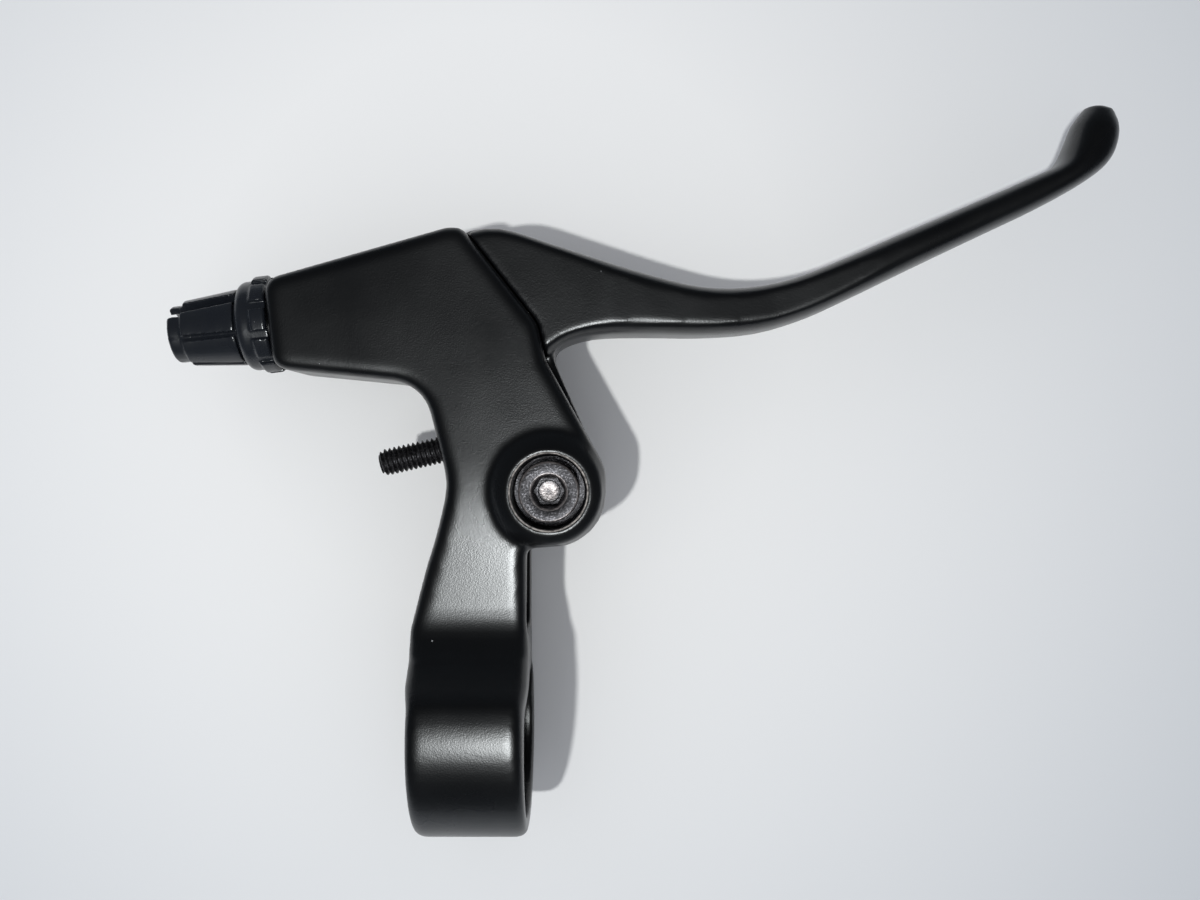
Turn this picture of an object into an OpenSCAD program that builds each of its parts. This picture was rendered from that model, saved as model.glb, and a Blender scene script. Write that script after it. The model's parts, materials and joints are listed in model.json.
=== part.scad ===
// Right-hand brake lever for a flat handlebar, seen from above.
// The origin is the centre of the handlebar bore. X runs along the handlebar, away from the stem,
// Y points forward, away from the rider, and Z points up. Millimetres.

/* [Handlebar clamp] */
// Diameter of the handlebar that the clamp fits
bar_d = 22.2; // [21:0.1:24]
// Thickness of the clamp band around the bore
band_t = 3.9; // [3.2:0.1:5]
// Width of the clamp band along the handlebar
band_w = 16; // [14:0.5:20]
// Gap of the slit that the clamp bolt closes
slit_gap = 2.2; // [1.2:0.1:3]
// How far the clamp's ear reaches forward of the bore's centre
ear_reach = 20; // [18:0.5:22]

/* [Bracket] */
// Thickness of the bracket from its top face to its underside
body_t = 16; // [15:0.5:18]
// Radius on every outer edge of the casting
edge_r = 1.6; // [0.8:0.1:2]
// Height of the neck's top face above the bore's centre, where it meets the clamp band
neck_top = 6.2; // [5.4:0.1:7]
// Radius of the hollow blend between neck and clamp band
neck_blend_r = 9; // [6:0.5:12]
// Width of the slot that the lever arm swings in
slot_w = 8.6; // [7.6:0.1:9]
// Height of the raised boss around the pivot bolt's head
boss_h = 1.8; // [1.4:0.1:2.4]
// Radius of the raised boss
boss_r = 7.4; // [7:0.1:7.8]
// Width of the slot that lets the inner cable into the bracket
cable_slot_w = 2.2; // [1.8:0.1:2.6]

/* [Lever blade] */
// Thickness of the lever arm inside the slot
arm_t = 8; // [7:0.1:8]
// Thickness of the blade where it leaves the bracket, measured along Z
blade_root_t = 13.8; // [12:0.1:14.4]
// Thickness of the blade's finger rest, measured along Z
blade_mid_t = 11.6; // [9:0.1:12.5]
// Thickness of the blade's hooked tip, measured along Z
blade_tip_t = 9.4; // [7:0.1:10.5]
// Width of the parting gap between blade and bracket
split_gap = 0.5; // [0.3:0.1:0.9]
// Radius of the lever's hub around the pivot
hub_r = 7.4; // [6.8:0.1:7.6]
// Diameter of the seat for the cable's barrel nipple
nipple_d = 7; // [6.6:0.1:7.4]

/* [Pivot] */
// Diameter of the pivot bolt's shank
pivot_d = 4.9; // [4.5:0.1:5.2]
// Diameter of the pivot bolt's head
pivot_head_d = 8.5; // [8:0.1:9]
// Height of the pivot bolt's head
pivot_head_h = 3.5; // [3:0.1:3.8]
// Outer diameter of the sleeve that the lever turns on
sleeve_d = 7; // [6.6:0.1:7.4]
// Wall of the flanged bushes
bush_wall = 0.95; // [0.8:0.05:1.2]
// Thickness of each bush's flange
flange_t = 0.5; // [0.4:0.1:0.7]

/* [Cable adjuster] */
// Outer diameter of the adjuster's thread
thread_d = 9.9; // [9:0.1:10.2]
// Length of the adjuster's thread
thread_l = 12; // [10:0.5:13]
// Diameter of the socket for the end of the outer cable
socket_d = 6.1; // [5.6:0.1:6.3]
// Depth of that socket
socket_l = 8; // [6:0.5:9]
// Length of the adjuster's gripped barrel, without its nose
barrel_l = 8; // [7:0.5:10]
// Length of the plain nose
nose_l = 1.9; // [1.5:0.1:3]
// Width of the locking ring
ring_w = 4.7; // [4:0.1:5.5]
// Number of lugs around the locking ring
ring_lugs = 10; // [8:1:12]
// Width of the slot that the inner cable slips in by, along adjuster and ring
slip_slot_w = 1.9; // [1.7:0.1:2.1]

/* [Screws] */
// Outer diameter of the reach screw's thread
reach_d = 3.9; // [3.4:0.1:4.1]
// Length of the reach screw
reach_l = 14.5; // [14:0.5:16]
// Diameter of the clamp bolt's shank
clamp_bolt_d = 4.9; // [4.5:0.1:5]

/* [Hidden] */
$fn = 64;

// Shared clearances
fit_gap = 0.05;
free_gap = 0.3;
slack = 0.1;
beyond = 40;

// Handlebar clamp
bore_r = bar_d / 2;
band_r = bore_r + band_t;
half_t = body_t / 2;
ear_top = -half_t - slit_gap;
ear_bottom = 0.4 - band_r;
slit_from = bore_r - 6;
clamp_bolt_y = bore_r + 1.9;
clamp_head_d = 8.5;
clamp_head_h = 3;
clamp_seat_l = 2.3;
clamp_thread_l = 4.4;
clamp_end_gap = 0.4;

// Pivot
pivot = [11.2, 36];
thrust_half = slot_w / 2 - 0.7;
face_step = 0.2;
bush_step = 1.4;
rim_z = half_t + boss_h;
rear_rim_z = -half_t - 0.8;
head_depth = 1;
washer_t = 0.4;
head_seat_z = rim_z - head_depth - pivot_head_h;
washer_seat_z = head_seat_z - washer_t;
counterbore_r = pivot_head_d / 2 + 1;
nut_flats = 8;
nut_h = 2.7;
nut_seat_z = rear_rim_z + nut_h + 0.5;
bolt_stand_out = 0.4;

// Adjuster's axis: its seat on the bracket's left end, and its rise towards the lever
seat_at = [-28.3, 60.25];
tap_run_out = 6;
cable_rise = 6.4;
seat_above = 5.5;
seat_below = 7.1;
seat_up = [-sin(cable_rise), cos(cable_rise)];

// Reach screw's axis: the place of its outer end, and its rise towards the lever
reach_at = [-13.7, 39.8];
reach_rise = 12.95;
reach_run_out = 2;
reach_tip = reach_at + reach_l * [cos(reach_rise), sin(reach_rise)];

// Corners of the bracket seen from above, each with its radius.
// Beside the clamp band the neck's sides stay shy of the band's faces.
neck_half = band_w / 2;
shy = 0.02;
body_corners = [
    [neck_half - 1.5, 9.4, 0],
    [neck_half - shy, 12.6, 0],
    [neck_half - shy, 15.2, 0],
    [neck_half, 16.4, 0],
    [neck_half, pivot.y - 8 - shy, 0.8],
    [pivot.x + 8, pivot.y - 7.9, 7.7],
    [pivot.x + 7.95, pivot.y + 3.1, 5],
    [10.7, 54.4, 2],
    [9.5, 59.6, 2.5],
    [-1.46, 73.54, 2.4],
    concat(seat_at + seat_above * seat_up, 2.4),
    concat(seat_at - seat_below * seat_up, 2.4),
    [-6.5, 51.1, 6],
    [-3, 37, 9],
    [-neck_half + 1.5 * shy, 16.3, 2],
    [-neck_half + shy, 12.6, 0],
    [-neck_half + 1.5, 9.4, 0]];

// Corners of the clamp's ear seen from above
ear_corners = [
    [neck_half - 0.6, -0.4, 0],
    [neck_half - 0.3, 3, 0],
    [neck_half - 0.4, ear_reach - 0.15, 4],
    [0, ear_reach, 0],
    [-neck_half + 0.4, ear_reach - 0.15, 4],
    [-neck_half + 0.3, 3, 0],
    [-neck_half + 0.6, -0.4, 0]];
boss_rim_r = 1.2;

// Corners of the hollow that the lever arm swings in
spine_t = 2.6;
slot_floor = 15.6;
cavity_corners = [
    [60, slot_floor, 0],
    [60, 90, 0],
    [-4.5, 90, 0],
    [-4.5, 69.5, 0.5],
    [-11.5, 67.3, 1.5],
    [-11.5, 54.3, 2],
    [-3 + spine_t, 51, 5],
    [-3 + spine_t, 37, 8],
    [-neck_half + spine_t, slot_floor, 1.5]];

// Cable line, and the nipple's seat on it
nipple_x = 3;
nipple_at = [nipple_x, seat_at.y + (nipple_x - seat_at.x) * tan(cable_rise)];
nipple_boss_r = nipple_d / 2 + 1.4;
nipple_roof = 1.2;

// Corners of the flat arm inside the slot
arm_corners = [
    [pivot.x + hub_r, pivot.y - hub_r, hub_r - 0.1],
    [pivot.x + hub_r, pivot.y + 3, hub_r - 1],
    [11.6, 54.8, 3],
    [13.5, 62, 3],
    [8, 71, 3],
    [nipple_x, nipple_at.y + nipple_boss_r, 3],
    [nipple_x - nipple_boss_r, nipple_at.y + nipple_boss_r - 1, 3.4],
    [nipple_x - nipple_boss_r, nipple_at.y - nipple_boss_r, 3],
    [reach_tip.x + free_gap, reach_tip.y, 6],
    [pivot.x - hub_r, pivot.y - hub_r, hub_r - 0.1]];

// Blade: front edge, rear edge, thickness along Z and squareness of the section, from root to tip
blade_stations = [
    [[-1.6, 72.8], [5.0, 54.0], blade_root_t, 7],
    [[4.1, 73.3], [9.4, 53.6], blade_root_t, 7],
    [[11.2, 71.2], [12.7, 56.7], blade_root_t, 6],
    [[18.3, 69.0], [17.5, 58.1], blade_root_t, 4.5],
    [[25.4, 66.9], [25.0, 58.3], 0.55 * blade_root_t + 0.45 * blade_mid_t, 4],
    [[32.5, 65.3], [33.0, 58.2], 0.25 * blade_root_t + 0.75 * blade_mid_t, 3.4],
    [[39.3, 65.2], [40.8, 58.8], blade_mid_t, 3.1],
    [[46.0, 66.5], [48.0, 60.9], blade_mid_t, 3],
    [[53.0, 69.2], [55.3, 64.2], blade_mid_t, 3],
    [[61.0, 72.7], [63.1, 68.0], 0.8 * blade_mid_t + 0.2 * blade_tip_t, 2.8],
    [[71.6, 77.2], [73.6, 73.0], 0.5 * blade_mid_t + 0.5 * blade_tip_t, 2.8],
    [[80.0, 80.9], [82.0, 77.0], blade_tip_t, 2.7],
    [[84.4, 83.1], [88.7, 80.8], blade_tip_t, 2.5],
    [[86.0, 86.0], [92.2, 83.9], 0.95 * blade_tip_t, 2.4],
    [[87.2, 89.2], [93.5, 87.9], 0.82 * blade_tip_t, 2.3],
    [[88.9, 91.6], [92.9, 90.9], 0.52 * blade_tip_t, 2.1]];
blade_steps = 3;
section_points = 28;
arc_step = 15;
same_level = 0.12;

// A vector of length one
function unit(v) = v / norm(v);

// Points of the round corner of radius r at q, between p and s
function corner_arc(p, q, s, r) =
    let (u = unit(p - q), v = unit(s - q), half = acos(u * v) / 2,
         centre = q + unit(u + v) * r / sin(half),
         a = q + u * r / tan(half), b = q + v * r / tan(half),
         turn = 180 - 2 * half, steps = max(1, ceil(turn / arc_step)),
         start = atan2(a.y - centre.y, a.x - centre.x),
         side = cross(a - centre, b - centre) > 0 ? 1 : -1)
    [for (i = [0 : steps])
        let (t = start + side * turn * i / steps)
        centre + r * [cos(t), sin(t)]];

// Outline through a list of corners, each with its radius
function rounded(corners) =
    let (n = len(corners))
    [for (i = [0 : n - 1])
        let (q = corners[i], p = corners[(i + n - 1) % n], s = corners[(i + 1) % n])
        each q[2] > 0 ? corner_arc([p.x, p.y], [q.x, q.y], [s.x, s.y], q[2]) : [[q.x, q.y]]];

// An outline drawn d further in, or further out where d is below 0
function inset(points, d) =
    let (n = len(points))
    [for (i = [0 : n - 1])
        let (a = unit(points[i] - points[(i + n - 1) % n]),
             b = unit(points[(i + 1) % n] - points[i]),
             na = [-a.y, a.x], nb = [-b.y, b.x])
        points[i] + d * (na + nb) / (1 + na * nb)];

// Points on an arc
function arc(centre, r, from, to) =
    let (steps = ceil(abs(to - from) / arc_step))
    [for (i = [0 : steps])
        let (t = from + (to - from) * i / steps)
        centre + r * [cos(t), sin(t)]];

// Smooth curve through four neighbouring values, at t between the middle two
function smooth(a, b, c, d, t) =
    0.5 * (2 * b + (c - a) * t + (2 * a - 5 * b + 4 * c - d) * t * t
        + (3 * b - a - 3 * c + d) * t * t * t);

// Half of a superellipse's size in one direction
function bulge(t, power) = sign(t) * pow(abs(t), 2 / power);

// Values from lowest to highest, each once
function sorted(v) =
    len(v) < 2 ? v :
    let (p = v[floor(len(v) / 2)])
    concat(sorted([for (x = v) if (x < p) x]), [p], sorted([for (x = v) if (x > p) x]));

// Closed solid between two height curves over an outline, with its edges rounded by r.
// The outline climbs one side from its lowest edge to its highest point and comes down the other.
// Extra levels follow the curves of its top face.
module cast_slab(points, top, bottom, r, extra = []) {
    all_ys = sorted(concat([for (p = points) p.y], extra));
    ys = [for (i = [0 : len(all_ys) - 1])
        if (i == 0 || all_ys[i] - all_ys[i - 1] > same_level) all_ys[i]];
    last = len(ys) - 1;
    levels = [for (i = [0 : last]) i == last ? (ys[i] + ys[i - 1]) / 2 : ys[i]];
    top_y = max([for (p = points) p.y]);
    peak = [for (i = [0 : len(points) - 1]) if (points[i].y == top_y) i][0];
    right = [for (i = [0 : peak]) [points[i].y, points[i].x]];
    left = [for (i = [peak : len(points) - 1]) [points[i].y, points[i].x]];
    outline = concat(
        [for (y = levels) [lookup(y, right), y]],
        [for (i = [last : -1 : 0]) [lookup(levels[i], left), levels[i]]]);
    n = len(outline);
    steps = 4;
    tilt = function (z, y) norm([1, (z(y + 0.01) - z(y - 0.01)) / 0.02]);
    layer = function (z, side, k)
        let (a = 90 * k / steps)
        [for (p = inset(outline, r * (1 - cos(a))))
            [p.x, p.y, z(p.y) - side * r * (1 - sin(a)) * tilt(z, p.y)]];
    layers = concat([for (k = [steps : -1 : 0]) layer(bottom, -1, k)],
        [for (k = [0 : steps]) layer(top, 1, k)]);
    count = len(layers);
    wall = [for (k = [0 : count - 2], i = [0 : n - 1])
        let (j = (i + 1) % n)
        each [[k * n + i, (k + 1) * n + i, (k + 1) * n + j], [k * n + i, (k + 1) * n + j, k * n + j]]];
    cap = [for (i = [0 : last - 1])
        let (a = i, b = i + 1, c = n - 2 - i, d = n - 1 - i)
        each [[a, c, b], [a, d, c]]];
    over = (count - 1) * n;
    polyhedron([for (l = layers) each l],
        concat(wall, [for (f = cap) [f[0] + over, f[1] + over, f[2] + over]],
            [for (f = cap) [f[0], f[2], f[1]]]));
}

// Height of the bracket's top face at y: flat, easing down the neck, then up the hollow blend
neck_from = pivot.y - 1;
neck_to = band_r + 2;
neck_fall = (half_t - neck_top) / (neck_from - neck_to);
neck_tilt = atan(neck_fall);
neck_line = function (y) half_t - neck_fall * (neck_from - y);
blend_rise = neck_line(0) + neck_blend_r / cos(neck_tilt);
blend_y = (sqrt(pow(neck_fall * blend_rise, 2)
    - (1 + pow(neck_fall, 2)) * (pow(blend_rise, 2) - pow(band_r + neck_blend_r, 2)))
    - neck_fall * blend_rise) / (1 + pow(neck_fall, 2));
blend_z = blend_rise + neck_fall * blend_y;
blend_start = blend_y + neck_blend_r * sin(neck_tilt);
blend_end = band_r * cos(atan2(blend_z, blend_y));
ease = 6;
sink = 0.08;
top_face = function (y)
    y > neck_from + ease ? half_t :
    y > neck_from - ease ? half_t - neck_fall * pow(neck_from + ease - y, 2) / 4 / ease :
    y > blend_start ? neck_line(y) :
    y > blend_end ? blend_z - sqrt(pow(neck_blend_r, 2) - pow(y - blend_y, 2)) :
    sqrt(pow(band_r - sink, 2) - y * y);
top_levels = concat([for (i = [0 : 5]) blend_end + (blend_start - blend_end) * i / 5],
    [for (i = [0 : 4]) neck_from + ease * (i / 2 - 1)]);
level = function (h) function (y) h;

// Clamp band, a rounded section turned about the handlebar's axis
module clamp_band() {
    rotate([0, 90, 0])
        rotate_extrude($fn = 72)
            polygon(concat([[bore_r - 1, -neck_half], [bore_r - 1 + 0.01, -neck_half]],
                arc([band_r - edge_r, -neck_half + edge_r], edge_r, -90, 0),
                arc([band_r - edge_r, neck_half - edge_r], edge_r, 0, 90),
                [[bore_r - 1, neck_half]]));
}

// Raised boss around the pivot, right through the bracket
module pivot_boss() {
    on_pivot(rear_rim_z)
        rotate_extrude()
            polygon(concat([[0, 0]], arc([boss_r - boss_rim_r, boss_rim_r], boss_rim_r, -90, 0),
                arc([boss_r - boss_rim_r, rim_z - rear_rim_z - boss_rim_r], boss_rim_r, 0, 90),
                [[0, rim_z - rear_rim_z]]));
}

// Rough casting with every outer edge rounded, the arm's slot, the clamp's slit and the cable slot
module casting() {
    resize([0, 0, 0])
    difference() {
        union() {
            cast_slab(rounded(body_corners), top_face, level(-half_t), edge_r, top_levels);
            cast_slab(rounded(ear_corners), level(ear_top), level(ear_bottom), edge_r);
            clamp_band();
            pivot_boss();
        }
        arm_slot();
        translate([-beyond, slit_from, ear_top])
            cube([2 * beyond, beyond, slit_gap]);
        on_cable_axis(-beyond / 2)
            translate([-cable_slot_w / 2, 0, 0])
                cube([cable_slot_w, beyond, beyond]);
    }
}

// Places its children on the adjuster's axis, with Z pointing out of the bracket
module on_cable_axis(out = 0) {
    translate([seat_at.x, seat_at.y, 0])
        rotate([0, 0, cable_rise])
            rotate([0, -90, 0])
                translate([0, 0, out])
                    children();
}

// Places its children on the reach screw's axis, with Z pointing towards the lever
module on_reach_axis(along = 0) {
    translate([reach_at.x, reach_at.y, 0])
        rotate([0, 0, reach_rise])
            rotate([0, 90, 0])
                translate([0, 0, along])
                    children();
}

// Places its children on the pivot's axis at height z
module on_pivot(z) {
    translate([pivot.x, pivot.y, z])
        children();
}

// Places its children on the clamp bolt's axis, at height z
module on_clamp_bolt(z) {
    translate([0, clamp_bolt_y, z])
        children();
}

// Hollow of the bracket, with the two thrust faces left standing beside the lever's hub
module arm_slot() {
    difference() {
        linear_extrude(slot_w, center = true)
            polygon(rounded(cavity_corners));
        for (side = [-1, 1])
            on_pivot(side * (thrust_half + beyond / 2))
                cylinder(r = hub_r - face_step, h = beyond, center = true);
    }
}

// Bracket and clamp band, cast as one piece
module lever_body() {
    color([0.05, 0.05, 0.055])
    difference() {
        casting();
        rotate([0, 90, 0])
            cylinder(r = bore_r, h = 2 * beyond, center = true);
        // Pivot
        on_pivot(0)
            cylinder(d = pivot_d + 2 * fit_gap, h = beyond, center = true);
        on_pivot(washer_seat_z)
            cylinder(r = counterbore_r, h = beyond);
        on_pivot(nut_seat_z - beyond)
            cylinder(r = (nut_flats / 2 + slack) / cos(30), h = beyond, $fn = 6);
        // Adjuster's thread
        on_cable_axis(-thread_l - tap_run_out)
            cylinder(d = thread_d + 2 * fit_gap, h = beyond);
        // Reach screw's thread
        on_reach_axis(0)
            cylinder(d = reach_d + 2 * fit_gap, h = reach_l + reach_run_out);
        // Clamp bolt: thread in the neck, clearance hole and seat in the ear
        on_clamp_bolt(-beyond - half_t + clamp_thread_l)
            cylinder(d = clamp_bolt_d + 2 * fit_gap, h = beyond);
        on_clamp_bolt(-beyond - band_r + clamp_seat_l)
            cylinder(d = clamp_head_d + 1, h = beyond);
    }
}

// One section of the blade, between its front and rear edge points
function blade_section(s) =
    let (front = s[0], rear = s[1], middle = (front + rear) / 2, half = (front - rear) / 2)
    [for (i = [0 : section_points - 1])
        let (t = 360 * i / section_points,
             across = middle + half * bulge(cos(t), s[3]))
        [across.x, across.y, s[2] / 2 * bulge(sin(t), s[3])]];

// Blade and finger rest as one smooth loft through the stations
module blade_form() {
    last = len(blade_stations) - 1;
    stations = [for (i = [0 : last - 1], k = [0 : blade_steps - 1])
            smooth(blade_stations[max(i - 1, 0)], blade_stations[i], blade_stations[i + 1],
                blade_stations[min(i + 2, last)], k / blade_steps)];
    rings = concat([for (s = stations) blade_section(s)], [blade_section(blade_stations[last])]);
    n = section_points;
    top = len(rings) - 1;
    tip = (blade_stations[last][0] + blade_stations[last][1]) / 2 + [0.2, 0.75];
    root = (blade_stations[0][0] + blade_stations[0][1]) / 2;
    points = concat([for (ring = rings) each ring], [[root.x, root.y, 0], [tip.x, tip.y, 0]]);
    faces = concat(
        [for (k = [0 : top - 1], i = [0 : n - 1])
            let (j = (i + 1) % n)
            each [[k * n + i, (k + 1) * n + j, k * n + j], [k * n + i, (k + 1) * n + i, (k + 1) * n + j]]],
        [for (i = [0 : n - 1]) [i, (i + 1) % n, len(points) - 2]],
        [for (i = [0 : n - 1]) [top * n + (i + 1) % n, top * n + i, len(points) - 1]]);
    polyhedron(points, faces);
}

// Lever arm, hub, nipple seat and finger blade, cast as one piece
module lever_blade() {
    color([0.05, 0.05, 0.055])
    difference() {
        union() {
            difference() {
                blade_form();
                for (side = [-1, 1])
                    translate([0, 0, side * (arm_t / 2 + beyond / 2)])
                        linear_extrude(beyond, center = true)
                            polygon(inset(rounded(body_corners), -split_gap));
            }
            linear_extrude(arm_t, center = true)
                polygon(rounded(arm_corners));
        }
        // Hub, thinned between the two thrust faces of the bracket
        for (side = [-1, 1])
            on_pivot(side * (thrust_half - slack - flange_t + beyond / 2))
                cylinder(r = hub_r + free_gap, h = beyond, center = true);
        on_pivot(0)
            cylinder(d = sleeve_d + 2 * fit_gap + 2 * bush_wall, h = beyond, center = true);
        // Nipple seat, open below, and the slot that its cable leaves by
        translate([nipple_at.x, nipple_at.y, -arm_t / 2 - fit_gap])
            cylinder(d = nipple_d, h = arm_t + fit_gap - nipple_roof);
        translate([nipple_at.x, nipple_at.y, -beyond])
            rotate([0, 0, cable_rise])
                translate([-beyond, -cable_slot_w / 2, 0])
                    cube([beyond, cable_slot_w, beyond + cable_slot_w / 2]);
    }
}

// Socket for a hex key, with its drilled floor, cut down from z = 0
module hex_socket(flats, depth) {
    translate([0, 0, -depth])
        cylinder(r = flats / 2 / cos(30), h = depth + 1, $fn = 6);
    translate([0, 0, -0.6])
        cylinder(r1 = flats / 2 - 0.1, r2 = flats / 2 + 1.1, h = 1.2);
    translate([0, 0, -depth - 0.5])
        cylinder(r = flats / 2 - 0.45, h = 1);
}

// Round head with a chamfered rim, its top face at z = 0
module bolt_head(d, h) {
    rim = 0.4;
    translate([0, 0, -h])
        rotate_extrude()
            polygon([[0, 0], [d / 2, 0], [d / 2, h - rim], [d / 2 - rim, h], [0, h]]);
}

// Socket-head bolt that holds the pivot together, screwed into the nut below
module pivot_bolt() {
    color([0.12, 0.115, 0.115])
    difference() {
        union() {
            on_pivot(head_seat_z + pivot_head_h)
                bolt_head(pivot_head_d, pivot_head_h);
            on_pivot(rear_rim_z - bolt_stand_out)
                cylinder(d = pivot_d, h = head_seat_z - rear_rim_z + bolt_stand_out + slack);
        }
        on_pivot(head_seat_z + pivot_head_h)
            hex_socket(4, 2.1);
    }
}

module pivot_washer() {
    color([0.35, 0.35, 0.36])
    on_pivot(washer_seat_z)
        difference() {
            cylinder(r = counterbore_r - free_gap, h = washer_t);
            translate([0, 0, -1])
                cylinder(d = pivot_d + 4 * fit_gap, h = washer_t + 2);
        }
}

// Thin hex nut in its pocket on the underside
module pivot_nut() {
    color([0.12, 0.115, 0.115])
    on_pivot(nut_seat_z - nut_h)
        difference() {
            intersection() {
                cylinder(r = nut_flats / 2 / cos(30), h = nut_h, $fn = 6);
                rotate_extrude()
                    polygon([[0, 0], [nut_flats / 2 - 0.2, 0], [nut_flats / 2 + 0.7, 0.5],
                        [nut_flats / 2 + 0.7, nut_h], [0, nut_h]]);
            }
            translate([0, 0, -1])
                cylinder(d = pivot_d + 2 * fit_gap, h = nut_h + 2);
        }
}

// Steel sleeve clamped between the thrust faces, which the lever turns on
module pivot_sleeve() {
    color([0.6, 0.6, 0.62])
    on_pivot(-thrust_half)
        difference() {
            cylinder(d = sleeve_d, h = 2 * thrust_half);
            translate([0, 0, -1])
                cylinder(d = pivot_d + 4 * fit_gap, h = 2 * thrust_half + 2);
        }
}

// Flanged bush pressed into one side of the hub, with its flange at +Z
module bush() {
    reach = thrust_half - slack;
    difference() {
        union() {
            translate([0, 0, slack / 2])
                cylinder(d = sleeve_d + 2 * fit_gap + 2 * bush_wall, h = reach - slack / 2);
            translate([0, 0, reach - flange_t])
                cylinder(r = hub_r - bush_step, h = flange_t);
        }
        cylinder(d = sleeve_d + 2 * fit_gap, h = beyond);
    }
}

module upper_bush() {
    color([0.75, 0.72, 0.62])
    on_pivot(0)
        bush();
}

module lower_bush() {
    color([0.75, 0.72, 0.62])
    on_pivot(0)
        mirror([0, 0, 1])
            bush();
}

// Turning barrel that the outer cable ends in, slotted along its whole length
module barrel_adjuster() {
    barrel_from = free_gap + ring_w + free_gap;
    nose_from = barrel_from + barrel_l;
    nose_end = nose_from + nose_l;
    nose_r = socket_d / 2 + 1.05;
    inner_r = nose_r + 1.4;
    outer_r = nose_r + 0.65;
    flute = 0.75;
    flutes = 6;
    slot_turn = 45;
    color([0.04, 0.04, 0.045])
    on_cable_axis()
        difference() {
            rotate_extrude()
                polygon([[0, -thread_l], [thread_d / 2 - 0.6, -thread_l], [thread_d / 2, 0.6 - thread_l],
                    [thread_d / 2, barrel_from], [inner_r, barrel_from], [inner_r, barrel_from + 0.5],
                    [outer_r, nose_from - 0.3], [nose_r, nose_from], [nose_r, nose_end - 0.3],
                    [nose_r - 0.3, nose_end], [0, nose_end]]);
            translate([0, 0, nose_end - socket_l])
                cylinder(d = socket_d, h = socket_l + 1);
            translate([0, 0, -thread_l - 1])
                cylinder(d = cable_slot_w, h = nose_end + thread_l);
            rotate([0, 0, slot_turn])
                translate([0, -slip_slot_w / 2, -thread_l - 1])
                    cube([2 * inner_r, slip_slot_w, nose_end + thread_l + 2]);
            for (i = [1 : flutes - 1])
                rotate([0, 0, slot_turn + i * 360 / flutes])
                    translate([inner_r - 0.1, 0, barrel_from - 1])
                        rotate([0, -atan2(inner_r - outer_r, barrel_l), 0])
                            rotate([0, 0, 45])
                                translate([-flute / 2, -flute / 2, 0])
                                    cube([flute, flute, barrel_l + 4]);
        }
}

// Locking ring: a castellated flange beside the bracket and a plain collar outside it
module lock_ring() {
    flange_r = thread_d / 2 + 2.1;
    collar_r = flange_r - 0.6;
    flange_w = 0.5 * ring_w;
    notch_w = 1.3;
    color([0.04, 0.04, 0.045])
    on_cable_axis(free_gap)
        difference() {
            rotate_extrude()
                polygon(concat([[0, 0], [flange_r - 0.3, 0], [flange_r, 0.3], [flange_r, flange_w - 0.3],
                    [flange_r - 0.3, flange_w], [collar_r, flange_w]],
                    arc([collar_r - 1.2, ring_w - 1.2], 1.2, 0, 90), [[0, ring_w]]));
            translate([0, 0, -1])
                cylinder(d = thread_d + 2 * fit_gap, h = ring_w + 2);
            for (i = [0 : ring_lugs - 1])
                rotate([0, 0, i * 360 / ring_lugs + 18])
                    translate([collar_r, -notch_w / 2, -1])
                        cube([3, notch_w, flange_w + 1]);
            translate([-slip_slot_w / 2, 0, -1])
                cube([slip_slot_w, 2 * flange_r, ring_w + 2]);
        }
}

// Headless screw that sets how far the lever stands from the grip
module reach_screw() {
    chamfer = 0.5;
    flats = 2;
    socket = 2.2;
    color([0.08, 0.08, 0.085])
    on_reach_axis()
        difference() {
            rotate_extrude()
                polygon([[0, 0], [reach_d / 2 - chamfer, 0], [reach_d / 2, chamfer],
                    [reach_d / 2, reach_l - chamfer], [reach_d / 2 - chamfer, reach_l], [0, reach_l]]);
            translate([0, 0, -1])
                cylinder(r = flats / 2 / cos(30), h = socket + 1, $fn = 6);
        }
}

// Bolt that closes the clamp, entering from behind through the ear
module clamp_bolt() {
    head_end = -band_r + clamp_seat_l - washer_t;
    shank_top = -half_t + clamp_thread_l - clamp_end_gap;
    color([0.12, 0.115, 0.115])
    difference() {
        union() {
            on_clamp_bolt(head_end - clamp_head_h)
                mirror([0, 0, 1])
                    bolt_head(clamp_head_d, clamp_head_h);
            on_clamp_bolt(head_end - slack)
                cylinder(d = clamp_bolt_d, h = shank_top - head_end + slack);
        }
        on_clamp_bolt(head_end - clamp_head_h)
            mirror([0, 0, 1])
                hex_socket(4, 1.9);
    }
}

module clamp_washer() {
    color([0.35, 0.35, 0.36])
    on_clamp_bolt(-band_r + clamp_seat_l - washer_t)
        difference() {
            cylinder(d = clamp_head_d + 0.4, h = washer_t);
            translate([0, 0, -1])
                cylinder(d = clamp_bolt_d + 4 * fit_gap, h = washer_t + 2);
        }
}

lever_body();
lever_blade();
pivot_bolt();
pivot_washer();
pivot_nut();
pivot_sleeve();
upper_bush();
lower_bush();
barrel_adjuster();
lock_ring();
reach_screw();
clamp_bolt();
clamp_washer();
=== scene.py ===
import json
import math

import bmesh
import bpy
from bpy.props import FloatProperty, FloatVectorProperty, IntProperty, PointerProperty
from mathutils import Matrix, Vector


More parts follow.
